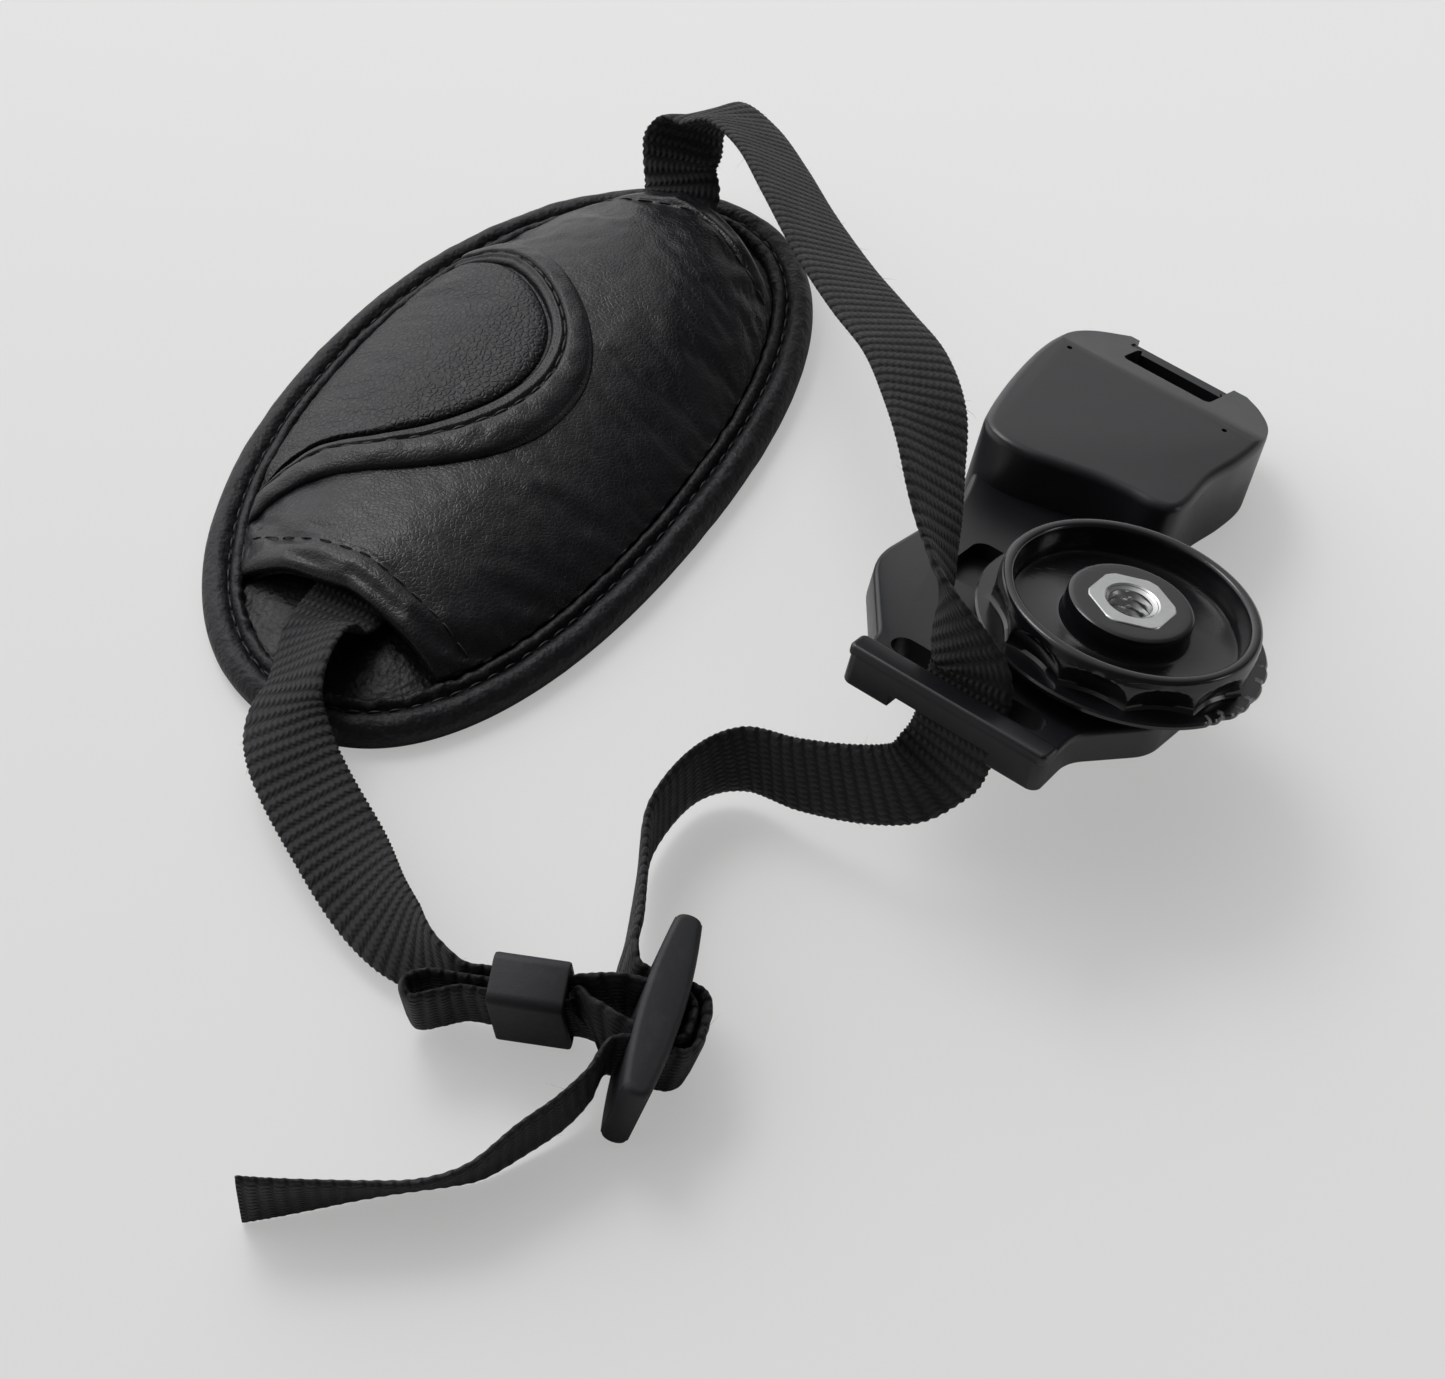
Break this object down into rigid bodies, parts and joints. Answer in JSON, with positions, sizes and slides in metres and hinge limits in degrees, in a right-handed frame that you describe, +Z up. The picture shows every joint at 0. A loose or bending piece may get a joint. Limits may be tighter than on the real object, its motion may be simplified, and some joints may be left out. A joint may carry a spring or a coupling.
{
  "type": "camera hand grip strap",
  "caption": "Padded leaf-shaped hand grip on woven webbing, with a slider and keeper, joined to a moulded base plate with a fluted thumb wheel and tripod screw.",
  "frame": {"origin": "on the surface the strap lies on, under the middle of the footprint of the padded grip and the base plate, leaving out the webbing and what is on it", "axes": "+Z up from the surface, +X from the padded grip towards the base plate, +Y from the webbing's free end towards the arch of webbing"},
  "size_m": [0.1515, 0.1867, 0.0494],
  "materials": {
    "leather": "fine grained, soft sheen",
    "binding": "rolled edge tape, soft sheen",
    "lining": "dull knitted lining",
    "foam": "soft closed foam",
    "webbing": "plain woven webbing",
    "dull_plastic": "dull moulded",
    "satin_plastic": "satin moulded",
    "gloss_plastic": "glossy moulded",
    "rubber": "matte rubber",
    "zinc": "zinc plated"
  },
  "bodies": {
    "grip_and_plate": {"pad_lining": "lining", "pad_foam": "foam", "pad_panel": "leather", "pad_binding": "binding", "cover_panel": "leather", "cover_lining": "lining", "applique_band": "leather", "applique_panel": "leather", "webbing_strap": "webbing", "strap_slider": "dull_plastic", "base_plate": "satin_plastic", "camera_pad": "rubber"},
    "keeper": {"strap_keeper": "dull_plastic"},
    "retainer": {"screw_retainer": "dull_plastic"},
    "wheel": {"thumb_wheel": "gloss_plastic", "camera_screw": "zinc"}
  },
  "joints": [
    {"name": "keeper_slide", "type": "slide", "parent": "grip_and_plate", "child": "keeper", "axis": [0.9848, -0.174, 0], "range_m": [-0.0025, 0]},
    {"name": "screw_float", "type": "slide", "parent": "grip_and_plate", "child": "retainer", "axis": [0.22, 0.214, 0.9518], "range_m": [0, 0.0024]},
    {"name": "wheel_turn", "type": "hinge", "parent": "retainer", "child": "wheel", "pos_m": [0.0468, -0.0434, 0.0186], "axis": [0.22, 0.214, 0.9518], "continuous": true}
  ]
}
